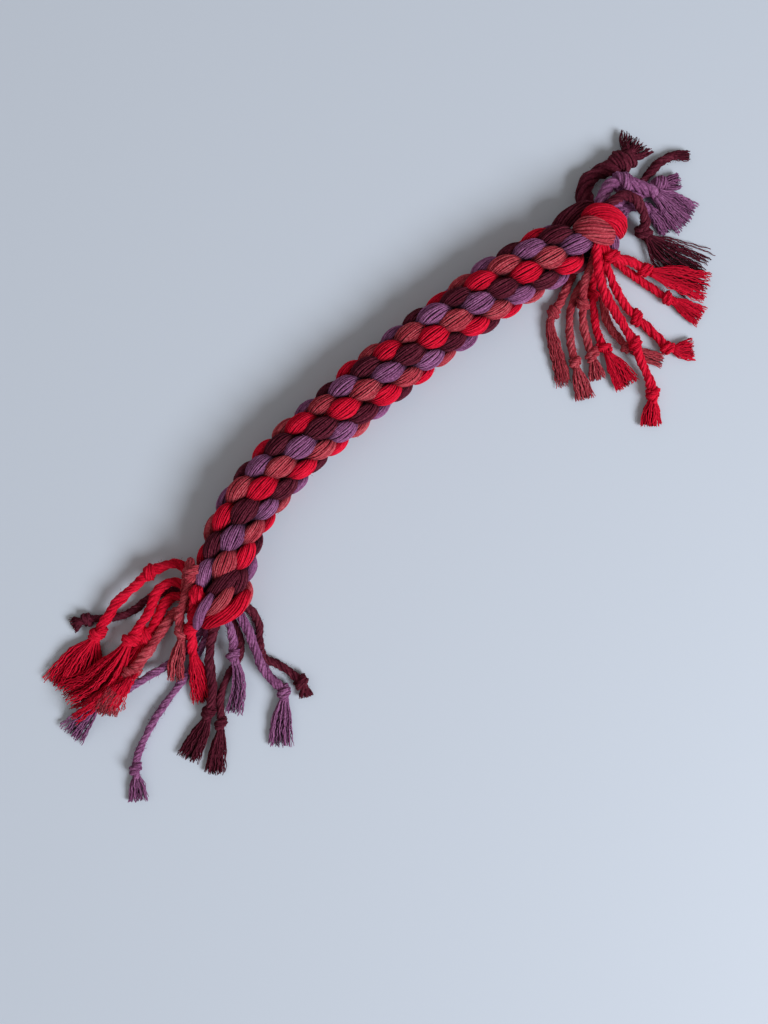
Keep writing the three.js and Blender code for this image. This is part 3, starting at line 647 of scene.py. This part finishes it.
# How far the fibres turn in a millimetre, and how fine they are round the yarn and along it
FIBRE_LEAN = 0.06
FIBRES_AROUND = 2.2
FIBRES_ALONG = 0.3


def node(tree, kind, inputs=None, **values):
    made = tree.nodes.new(kind)
    for name, value in values.items():
        setattr(made, name, value)
    for name, value in (inputs or {}).items():
        made.inputs[name].default_value = value
    return made


def cotton(dye):
    base, dark, light = DYES[dye]
    material = bpy.data.materials.new(dye + "_cotton")
    material.use_nodes = True
    tree = material.node_tree
    tree.nodes.clear()
    link = tree.links.new
    output = node(tree, "ShaderNodeOutputMaterial")
    shader = node(tree, "ShaderNodeBsdfPrincipled", {
        "Specular IOR Level": 0.12, "Sheen Weight": 0.12, "Sheen Roughness": 0.5,
        "Sheen Tint": (*light, 1),
    })
    link(shader.outputs["BSDF"], output.inputs["Surface"])
    uv = node(tree, "ShaderNodeUVMap", uv_map="along_and_around")
    split = node(tree, "ShaderNodeSeparateXYZ")
    link(uv.outputs["UV"], split.inputs[0])
    shade = node(tree, "ShaderNodeAttribute", attribute_name="shade").outputs["Fac"]
    painted_shade_depth = node(tree, "ShaderNodeAttribute", attribute_name="painted_shade_depth").outputs["Fac"]

    def combined(operation, a, b):
        made = node(tree, "ShaderNodeMath", operation=operation)
        for socket, value in zip(made.inputs, (a, b)):
            if hasattr(value, "links"):
                link(value, socket)
            else:
                socket.default_value = value
        return made.outputs[0]

    def ranged(value, low, high, to_low, to_high, kind="SMOOTHSTEP"):
        made = node(tree, "ShaderNodeMapRange", {
            "From Min": low, "From Max": high, "To Min": to_low, "To Max": to_high,
        }, interpolation_type=kind)
        link(value, made.inputs["Value"])
        return made.outputs["Result"]

    def noise(scale, detail, roughness, vector):
        made = node(tree, "ShaderNodeTexNoise",
                    {"Scale": scale, "Detail": detail, "Roughness": roughness})
        link(vector, made.inputs["Vector"])
        return made.outputs["Fac"]

    # The fibres lean round the yarn: a place round it moves on with the place along it
    lean = combined("MULTIPLY", split.outputs["X"], FIBRE_LEAN)
    around = combined("MULTIPLY", combined("ADD", split.outputs["Y"], lean), 6.2832)
    vector = node(tree, "ShaderNodeCombineXYZ")
    for operation, socket in (("COSINE", "X"), ("SINE", "Y")):
        turned = combined(operation, around, 0)
        link(combined("MULTIPLY", turned, FIBRES_AROUND), vector.inputs[socket])
    along = combined("MULTIPLY", split.outputs["X"], FIBRES_ALONG)
    own = combined("MULTIPLY", shade, 40.0)
    link(combined("ADD", along, own), vector.inputs["Z"])
    fibre = noise(1.7, 5.0, 0.65, vector.outputs[0])
    streak = node(tree, "ShaderNodeValToRGB")
    streak.color_ramp.elements[0].position = 0.3
    streak.color_ramp.elements[0].color = (*dark, 1)
    streak.color_ramp.elements[1].position = 0.74
    streak.color_ramp.elements[1].color = (*light, 1)
    middle = streak.color_ramp.elements.new(0.5)
    middle.color = (*base, 1)
    # Fluff hides the yarns in spots
    fluff = noise(800.0, 6.0, 0.7, node(tree, "ShaderNodeTexCoord").outputs["Object"])
    mixed = combined("ADD", combined("MULTIPLY", fibre, 0.5), combined("MULTIPLY", shade, 0.13))
    mixed = combined("ADD", mixed, combined("MULTIPLY", fluff, 0.7))
    mixed = combined("SUBTRACT", mixed, 0.165)
    link(mixed, streak.inputs["Fac"])
    # Painted shade: colour darkened on each yarn's side turned from its outward direction, where yarns
    # press together, and where a stitch goes down into the rope
    outer = combined("COSINE", combined("MULTIPLY", split.outputs["Y"], 6.2832), 0)
    painted_yarn_side_shade = ranged(outer, -0.1, 0.85, 0.5, 1.0)
    painted_shade = combined("MULTIPLY", painted_yarn_side_shade, ranged(painted_shade_depth, 0.77, 1.05, 0.06, 1.0))
    painted_shade_colour = node(tree, "ShaderNodeVectorMath", operation="SCALE")
    link(streak.outputs["Color"], painted_shade_colour.inputs[0])
    link(painted_shade, painted_shade_colour.inputs["Scale"])
    link(painted_shade_colour.outputs["Vector"], shader.inputs["Base Color"])
    link(ranged(fibre, 0, 1, 0.98, 0.82, "LINEAR"), shader.inputs["Roughness"])
    bump = node(tree, "ShaderNodeBump", {"Strength": 0.8, "Distance": 0.0004})
    link(combined("ADD", fibre, fluff), bump.inputs["Height"])
    link(bump.outputs["Normal"], shader.inputs["Normal"])
    return material


COTTON = {dye: cotton(dye) for dye in DYES}


def rounded(rings_value, steps):
    """A value at the rings of a braid cord, smoothed between them."""
    values = np.asarray(rings_value, float)
    if values.ndim == 1:
        values = values[:, None]
    spans = len(values) - 1
    p0, p1, p2, p3, w = span_ends(values, np.linspace(0, spans, spans * steps + 1))
    return cubic(p1, p2, (p2 - p0) / 2, (p3 - p1) / 2, w)


# Loose fibre ends: their radius, and their foot and length as shares
HAIR_RADIUS = 0.07
HAIR_FOOT = 0.9
BRAID_HAIRS, TAIL_HAIRS = 400, 130
TAIL_HAIR_LENGTH = 0.5


def fuzz(build, centre, out, wide, thick, count, rng, most=1.0):
    """Loose fibre ends that stand up from the cotton."""
    run, side, rise = section(centre, out)
    for _ in range(count):
        i = rng.randrange(len(centre))
        angle = rng.uniform(-1.9, 1.9)
        foot = side[i] * wide[i] * math.sin(angle) + rise[i] * thick[i] * math.cos(angle)
        foot = centre[i] + HAIR_FOOT * foot
        away = unit(side[i] * math.sin(angle) + rise[i] * math.cos(angle))
        lean = unit(run[i] * rng.uniform(-1, 1) + side[i] * rng.uniform(-1, 1))
        reach, rest = most * rng.uniform(0.3, 1.1), most * rng.uniform(0.8, 2.6)
        s = np.linspace(0, 1, 4)[:, None]
        hair = foot + away * (reach * np.sin(s * 2.2)) + lean * (rest * s)
        if hair[:, 2].min() > 0.1:
            build.tube(hair, HAIR_RADIUS, away, sides=HAIR_SIDES, shade=rng.uniform(0.4, 0.9))


def phase_of(rng):
    return rng.uniform(0, 6.28)


def ripple(along, low, high, rng):
    return np.sin(along / rng.uniform(low, high) + phase_of(rng))


def own_look(rng):
    return {"shade": rng.uniform(0, 1), "start": rng.uniform(0, 100)}


# A bundle's yarns, and how far they turn round it in a millimetre, in radians
BRAID_YARNS, BRAID_TWIST = 25, -0.105
BIGHT_YARNS, BIGHT_TWIST = 18, -0.06
SEAM_DEPTH = 0.1
SEAM_WIDTH = 0.32


def bundle(build, centre, out, wide, thick, yarns, twist, rng, axis=None):
    """Yarns of two cords laid side by side, round an oval bundle that turns slowly."""
    _, side, rise = section(centre, out)
    along = lengths_along(centre)

    # Painted shade: the depth is the distance from the rope's axis in the rope's radii, and the colour
    # darkens where it is small
    def painted_shade_depth_of(line):
        if axis is None:
            return 1.0
        return np.linalg.norm(line - axis, axis=1) / ROPE_RADIUS

    radius = 2.5 * np.sqrt(wide * thick) / (yarns + 1.2)
    core = np.maximum(thick - radius * 1.3, thick * 0.3)
    core_wide = np.maximum(wide - radius * 1.3, core)
    build.tube(centre, core, rise, shade=0.2, wide=core_wide, painted_shade_depth=painted_shade_depth_of(centre))
    start = rng.uniform(0, 1)
    seam_phase = phase_of(rng)
    seam_depth = SEAM_DEPTH * (0.6 + 0.4 * np.sin(along / 11 + seam_phase))
    seam_place = 0.25 * np.sin(along / 17 + seam_phase)
    for k in range(yarns):
        wave = 0.06 * ripple(along, 2.5, 6, rng)
        angle = FULL_TURN * (k + start) / yarns + twist * along + wave
        lift = 1 + rng.uniform(-0.03, 0.02)
        lift = lift + 0.02 * ripple(along, 2, 5, rng)
        # The seam between the two cords of a bundle lies along its top and its underside
        from_seam = np.abs(np.sin(angle - seam_place)) / SEAM_WIDTH
        lift = lift - seam_depth * np.exp(-from_seam**2)
        beside = (wide - radius * 0.8) * np.sin(angle) * lift
        above = (thick - radius * 0.8) * np.cos(angle) * lift
        middle = centre + side * beside[:, None] + rise * above[:, None]
        middle[:, 2] = np.maximum(middle[:, 2], radius * 0.55)
        outward = unit(side * np.sin(angle)[:, None] + rise * np.cos(angle)[:, None])
        swell = 1 + 0.12 * ripple(along, 1.5, 4, rng)
        build.tube(middle, radius * rng.uniform(1.04, 1.26) * swell, outward, sides=YARN_SIDES,
                   painted_shade_depth=painted_shade_depth_of(middle), **own_look(rng))


# Points to a ring of the braid, and how its stitches differ: width and thickness as shares, and
# place in millimetres
RING_STEPS = 5
STITCH_WIDE, STITCH_THICK, STITCH_OFF = (0.92, 1.07), (0.9, 1.12), (-0.4, 0.4)


def braid_piece(column):
    rings = braid_rings(column, SOFT_RINGS)
    dye = BRAID_COLOURS[column]
    pair = 2 if dye in BRAID_COLOURS[:column] else 1
    rng = random.Random(100 + column)
    build = Build()
    per_stitch = len(SOFT_RINGS)
    stitches = range(len(rings["wide"]) // per_stitch)
    wide = rings["wide"] * np.repeat([rng.uniform(*STITCH_WIDE) for _ in stitches], per_stitch)
    thick = rings["thick"] * np.repeat([rng.uniform(*STITCH_THICK) for _ in stitches], per_stitch)
    off = [[rng.uniform(*STITCH_OFF) for _ in range(3)] for _ in stitches]
    centre = rounded(rings["centre"] + np.repeat(off, per_stitch, axis=0), RING_STEPS)
    out = unit(rounded(rings["out"], RING_STEPS))
    wide, thick = rounded(wide, RING_STEPS)[:, 0], rounded(thick, RING_STEPS)[:, 0]
    bundle(build, centre, out, wide, thick, BRAID_YARNS, BRAID_TWIST, rng,
           axis=rounded(rings["axis"], RING_STEPS))
    fuzz(build, centre, out, wide, thick, BRAID_HAIRS, rng)
    name = f"braid_cord_{dye}_{pair}"
    build.piece("laid_" + name, [name])


# Each ply is itself a few yarns: their reach and radius in the cord's, and their pitch in the ply's
PLY_YARNS = 4
PLY_YARN_REACH, PLY_YARN_RADIUS, PLY_YARN_PITCH = 0.35, 0.33, 1.4


def twisted(build, centre, radius, out, plies, pitch, rng, phase=0.0, relief=0.4):
    """Plies twisted together along a line, further apart with more relief."""
    along = lengths_along(centre)
    _, side, rise = section(centre, out)
    radius = np.full(len(centre), radius, float)
    turn = along / pitch + 0.06 * np.sin(along / 9 + phase_of(rng))
    for k in range(plies):
        angle = FULL_TURN * (k / plies + turn) + phase
        reach = radius * relief
        direction = side * np.sin(angle)[:, None] + rise * np.cos(angle)[:, None]
        swell = 1 + 0.06 * ripple(along, 1.5, 4, rng)
        strand = centre + direction * reach[:, None]
        ply_side = section(strand, direction)[1]
        for j in range(PLY_YARNS):
            lean = FULL_TURN * (j / PLY_YARNS + along / (pitch * PLY_YARN_PITCH))
            lean = lean + phase * 2 + k
            off = direction * np.cos(lean)[:, None] + ply_side * np.sin(lean)[:, None]
            yarn = strand + off * (radius * PLY_YARN_REACH * swell)[:, None]
            outward = unit(direction * 0.9 + off)
            thin = radius * PLY_YARN_RADIUS * swell * rng.uniform(0.9, 1.08)
            build.tube(yarn, thin, outward, sides=YARN_SIDES, **own_look(rng))


# A knot's wraps: turns, points, and half its length, lean, thickness and pitch in its cord's radii
KNOT_TURNS, KNOT_POINTS = 1.75, 46
KNOT_HALF, KNOT_LEAN, KNOT_CORD, KNOT_PITCH = 1.4, 0.35, 0.66, 6.5


def knot_piece(name, stations, distance, radius, rng):
    """A tied overhand knot: the cord's wraps lie across its own run."""
    low = max(distance - KNOT_HALF * radius, 0)
    _, line = settled_line(stations, low, distance + KNOT_HALF * radius, 0.5)
    centre = line[len(line) // 2]
    run = unit(line[-1] - line[0])
    side = unit(np.cross(run, UP))
    rise = np.cross(side, run)
    build = Build()
    t = np.linspace(0, 1, KNOT_POINTS)
    tilt = rng.choice([-1, 1]) * KNOT_LEAN
    angle = phase_of(rng) + KNOT_TURNS * FULL_TURN * t
    reach = radius * (0.9 + 0.1 * np.cos(2 * angle + phase_of(rng)))
    axial = (t - 0.5) * radius * 1.5 + tilt * radius * np.sin(angle)
    wrap = (centre + run * axial[:, None] + side * (reach * np.sin(angle))[:, None]
            + rise * (reach * 0.92 * np.cos(angle))[:, None])
    outward = side * np.sin(angle)[:, None] + rise * np.cos(angle)[:, None]
    wrap[:, 2] = np.maximum(wrap[:, 2], radius * 0.6)
    ends = 0.72 + 0.28 * np.sin(math.pi * np.clip(t, 0, 1)) ** 0.5
    twisted(build, wrap, radius * KNOT_CORD * ends, outward, 3, radius * KNOT_PITCH, rng)
    return build.piece(f"{name}_knot")


# A tassel's yarns: their radius, how many there are at least, at most and for its section, the
# share broken off short, and how far past its solid they may reach, as shares of its length
THIN = 0.27
FEWEST_YARNS, MOST_YARNS, YARNS_FOR_AREA, YARNS_AT_ALL = 40, 170, 4.2, 26
BROKEN = 0.14
DRAWN_ON = (0.12, 0.24, 0.36)
# A tail under a tassel counts as this much thicker, and lifts yarns this far beside it
OVER_THICKER, OVER_REACH = 1.5, 3.0


def tassel_piece(name, spread_px, stations, rng):
    """Frayed yarns that fan out after the last knot."""
    own = stations["own"]
    frayed, total = stations["frayed"], stations["curve"].total
    radius = stations["radius"]
    length = total - frayed
    along, line = settled_line(stations, frayed, total, 0.8)
    _, side, rise = section(line, UP)
    radius = radius * own.get("loose", 1.05)
    spread = max(spread_px * VIEW_SCALE / 2, radius) * own.get("opened", 1.08)
    share = (along - frayed) / length
    onward = unit(line[-1] - line[-3])
    for extra in DRAWN_ON:
        line = np.vstack([line, line[-1] + onward * DRAWN_ON[0] * length])
        share = np.append(share, 1 + extra)
        side = np.vstack([side, side[-1:]])
        rise = np.vstack([rise, rise[-1:]])
    longest, mound = own.get("long", 1.0), own.get("mound", 1.0)
    build = Build()
    yarns = max(FEWEST_YARNS, YARNS_FOR_AREA * (spread * radius) + YARNS_AT_ALL)
    yarns = int(min(MOST_YARNS, yarns) * own.get("threads", 1.0))
    if "over" in own:
        crossed = next(tail[-1] for tail in tails if tail[0] == own["over"])
        _, under = settled_line(crossed, 0, crossed["curve"].total, 1.0)
        under_radius = crossed["radius"] * OVER_THICKER
    for k in range(yarns):
        spot = math.sqrt(rng.uniform(0, 1))
        turn = rng.uniform(0, FULL_TURN)
        x, y = spot * math.sin(turn), spot * math.cos(turn)
        reach = longest * rng.uniform(0.84, 1.0)
        if rng.random() < BROKEN:
            reach = longest * rng.uniform(0.5, 0.84)
        n = max(8, int(length * reach / 1.5))
        s = np.linspace(0, reach, n)
        bloom = np.clip(s / 0.4, 0, 1)
        bloom = bloom * bloom * (3 - 2 * bloom)
        wide = radius * 0.8 + (spread - radius * 0.8) * (0.35 * bloom + 0.65 * np.minimum(s, 1.2))
        stray = rng.uniform(-0.16, 0.16) * spread * np.maximum(s - 0.4, 0)
        high = radius * (0.9 + 0.25 * bloom - 0.5 * s) * (1 + (mound - 1) * bloom)
        middle = interpolated(s, share, line)
        if "sagging" in own:
            fall = np.minimum(s, 1) ** 1.5
            middle[:, 2] = middle[:, 2] * (1 - fall) + radius * fall
        sides, rises = interpolated(s, share, side), interpolated(s, share, rise)
        wave = rng.uniform(0.12, 0.55) * bloom
        turns = s * length / rng.uniform(4, 9) * 6.28
        phase, phase_up = phase_of(rng), phase_of(rng)
        beside = x * wide + stray + wave * np.sin(turns + phase)
        above = y * high + 0.5 * wave * np.sin(turns + phase_up)
        yarn = middle + sides * beside[:, None] + rises * above[:, None]
        if "over" in own:
            near = np.linalg.norm(yarn[:, None, :2] - under[None, :, :2], axis=2)
            off = np.clip(near.min(axis=1) / (under_radius + OVER_REACH), 0, 1)
            top = under[near.argmin(axis=1), 2] + under_radius * np.sqrt(1 - off**2)
            lifted = np.maximum(yarn[:, 2], top + THIN * (1 + k % 4))
            lifted = np.where((off < 1) & (bloom > 0.5), lifted, yarn[:, 2])
            yarn[:, 2] = np.convolve(np.pad(lifted, 2, mode="edge"), np.full(5, 0.2), "valid")
        # Loose yarns sag until they lie on the surface or on one another
        yarn[:, 2] = np.maximum(yarn[:, 2], THIN * (1.1 + 1.5 * (k % 3)))
        taper = np.where(s > reach * 0.93, 0.8, 1.0)
        # Painted shade: yarns nearer the middle of the tassel get a lower depth and so a darker colour
        build.tube(yarn, THIN * rng.uniform(0.8, 1.25) * taper, UP + 0.01 * sides,
                   sides=YARN_SIDES, painted_shade_depth=0.78 + 0.24 * spot, **own_look(rng))
    return build.piece(f"{name}_tassel")


UPPER_ROOT = place(596, 232, ROPE_AXIS_HEIGHT)
LOWER_ROOT = place(220, 600, ROPE_AXIS_HEIGHT)
# How far a tail carries on into the rope's end, and the radius that gets a fourth ply
ROOT_REACH = 7.0
THICK_CORD = 3
# How a bight's ends turn down into the rope
DIVE_ALONG, DIVE_DOWN, DIVE_STEPS = 3.6, 4.5, 5

# The tails come first: each is a twisted cord with tied knots and a frayed end
for number, (name, spread_px, stations) in enumerate(tails):
    rng = random.Random(500 + number)
    radius, frayed = stations["radius"], stations["frayed"]
    along, line = settled_line(stations, 0, min(frayed + radius * 0.6, stations["curve"].total), 0.9)
    # The cord carries on into the rope's end, out of sight
    root = UPPER_ROOT if name.startswith("upper") else LOWER_ROOT
    inward = root - line[0]
    inward = inward * min(1, ROOT_REACH / np.linalg.norm(inward))
    back = np.linspace(1, 0, 8, endpoint=False)[:, None]
    line = np.vstack([line[0] + inward * back, line])
    line[:, 2] = np.maximum(line[:, 2], radius + 0.1)
    radius = radius * stations["own"].get("loose", 1.07)
    build = Build()
    plies = 3 if stations["radius"] < THICK_CORD else 4
    pitch = radius * rng.uniform(7.5, 10.5)
    relief = rng.uniform(0.2, 0.32)
    past = lengths_along(line)
    uneven = 1 + 0.07 * np.sin(past / 4.3 + number) + 0.05 * np.sin(past / 2.1 + 2 * number)
    twisted(build, line, radius * uneven, UP, plies, pitch, rng, phase_of(rng), relief)
    whole = np.full(len(line), radius)
    fuzz(build, line, UP, whole, whole, TAIL_HAIRS, rng, TAIL_HAIR_LENGTH)
    cord = build.piece(f"{name}_cord", [name])
    knots = [*stations["knots"], *stations["own"].get("more_knots", ())]
    for k, distance in enumerate(knots):
        knot_piece(f"{name}_{k + 1}", stations, distance, radius, rng)
    tassel_piece(name, spread_px, stations, rng)

for column in range(COLUMN_COUNT):
    braid_piece(column)

for number, (name, trim, full, stations) in enumerate(bights):
    rng = random.Random(900 + number)
    along, line = settled_line(stations, 0, stations["curve"].total, 0.9)
    rise = section(line, UP)[2]
    keep = along >= trim
    line, rise = line[keep], rise[keep]
    # Both ends turn down into the rope
    dive = np.linspace(0, 1, DIVE_STEPS + 1)[1:, None]
    run_in, run_out = unit(line[1] - line[0]), unit(line[-1] - line[-2])
    before = line[0] - run_in * (DIVE_ALONG * dive) - UP * (DIVE_DOWN * dive**2)
    after = line[-1] + run_out * (DIVE_ALONG * dive) - UP * (DIVE_DOWN * dive**2)
    line = np.vstack([before[::-1], line, after])
    rise = np.pad(rise, ((DIVE_STEPS, DIVE_STEPS), (0, 0)), mode="edge")
    share = np.linspace(-1, 1, len(line))
    ends = np.clip(1.02 - np.abs(share) ** 3.5 * 0.55, 0.4, 1)
    wide = stations["wide"].max() * full * ends
    thick = stations["thick"].max() * 1.12 * ends
    build = Build()
    bundle(build, line, rise, wide, thick, BIGHT_YARNS, BIGHT_TWIST, rng)
    build.piece("laid_" + name, [name])


# Floor and light
FLOOR_HALF, FLOOR_Z = 3.0, -0.0002
FLOOR_COLOUR = (0.575, 0.632, 0.728, 1)
floor_mesh = bpy.data.meshes.new("floor")
corners = [(x * FLOOR_HALF, y * FLOOR_HALF, FLOOR_Z) for x, y in ((-1, -1), (1, -1), (1, 1), (-1, 1))]
floor_mesh.from_pydata(corners, [], [(0, 1, 2, 3)])
floor = bpy.data.objects.new("floor", floor_mesh)
bpy.context.scene.collection.objects.link(floor)
floor_material = bpy.data.materials.new("floor")
floor_material.use_nodes = True
floor_shader = floor_material.node_tree.nodes["Principled BSDF"]
floor_shader.inputs["Base Color"].default_value = FLOOR_COLOUR
floor_shader.inputs["Roughness"].default_value = 0.6
floor_mesh.materials.append(floor_material)


def area_light(name, location, size, power, colour):
    """A round lamp that shines at the middle of the part."""
    data = bpy.data.lights.new(name, "AREA")
    data.shape = "DISK"
    data.size = size
    data.energy = power
    data.color = colour
    light = bpy.data.objects.new(name, data)
    light.location = location
    light.rotation_euler = (-Vector(location)).to_track_quat("-Z", "Y").to_euler()
    bpy.context.scene.collection.objects.link(light)


area_light("main_light", (0.55, -2.35, 2.05), size=1.7, power=108, colour=(0.93, 0.964, 1.0))
area_light("fill_light", (-0.8, 1.2, 2.4), size=2.4, power=5, colour=(0.93, 0.96, 1.0))
world = bpy.data.worlds.new("surround")
world.use_nodes = True
sky = world.node_tree.nodes["Background"]
sky.inputs["Color"].default_value = (0.97, 0.905, 0.83, 1)
sky.inputs["Strength"].default_value = 0.27
bpy.context.scene.world = world
bpy.context.scene.view_settings.view_transform = "Standard"
